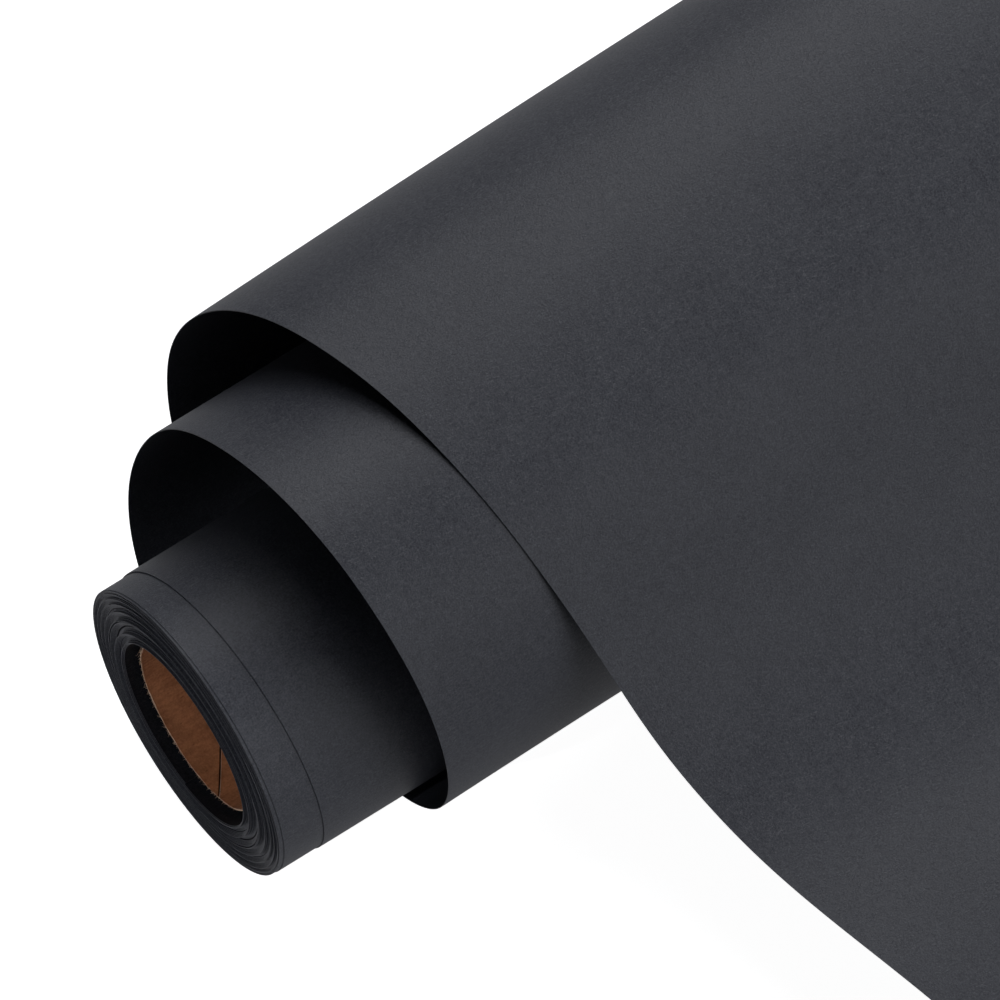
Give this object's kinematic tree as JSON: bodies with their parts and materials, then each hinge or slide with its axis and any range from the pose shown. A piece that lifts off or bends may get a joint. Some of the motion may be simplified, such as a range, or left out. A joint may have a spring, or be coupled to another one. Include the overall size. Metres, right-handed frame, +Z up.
{
  "type": "backdrop paper roll",
  "caption": "Roll of matt black background paper on a cardboard core, with its outer turns loose and the free sheet run out in front, its cut end on the table.",
  "frame": {"origin": "on the core's axis, at the middle of the core's length", "axes": "+Y along the core, away from the end that the loose turns leave bare; +X forward, the way the free sheet runs out; +Z up"},
  "size_m": [0.4083, 1.5047, 0.1291],
  "materials": {
    "core_board": "raw brown kraft board, matt",
    "tape": "thin adhesive tape",
    "wound_paper": "matt black paper, wound tight",
    "loose_paper": "matt black paper with fine fibre mottling"
  },
  "bodies": {
    "loose_turns": {"last_turn": "loose_paper", "lift_off": "loose_paper", "middle_turn_front": "loose_paper", "outer_turn_back": "loose_paper", "outer_turn_front": "loose_paper", "front_bend": "loose_paper"},
    "outer_windings": {"winding_band_5": "wound_paper", "winding_band_6": "wound_paper"},
    "middle_windings": {"winding_band_3": "wound_paper", "winding_band_4": "wound_paper"},
    "core_windings": {"core_liner_ply": "core_board", "core_inner_ply": "core_board", "core_outer_ply": "core_board", "core_cover_ply": "core_board", "starter_tape": "tape", "winding_band_1": "wound_paper", "winding_band_2": "wound_paper"},
    "free_sheet": {"free_sheet": "loose_paper"}
  },
  "joints": [
    {"name": "roll_turn", "type": "hinge", "parent": "loose_turns", "child": "outer_windings", "pos_m": [0, 0, 0], "axis": [0, 1, 0], "continuous": true},
    {"name": "windings_slip", "type": "slide", "parent": "outer_windings", "child": "middle_windings", "axis": [0, -1, 0], "range_m": [-0.02, 0.06]},
    {"name": "core_slip", "type": "slide", "parent": "middle_windings", "child": "core_windings", "axis": [0, -1, 0], "range_m": [-0.02, 0.06]},
    {"name": "sheet_lift", "type": "hinge", "parent": "loose_turns", "child": "free_sheet", "pos_m": [0.13806, 0, 0.00735], "axis": [0, -1, 0], "range_deg": [0, 35]}
  ],
  "couplings": [
    {"joint": "core_slip", "follows": "windings_slip", "ratio": 1}
  ]
}
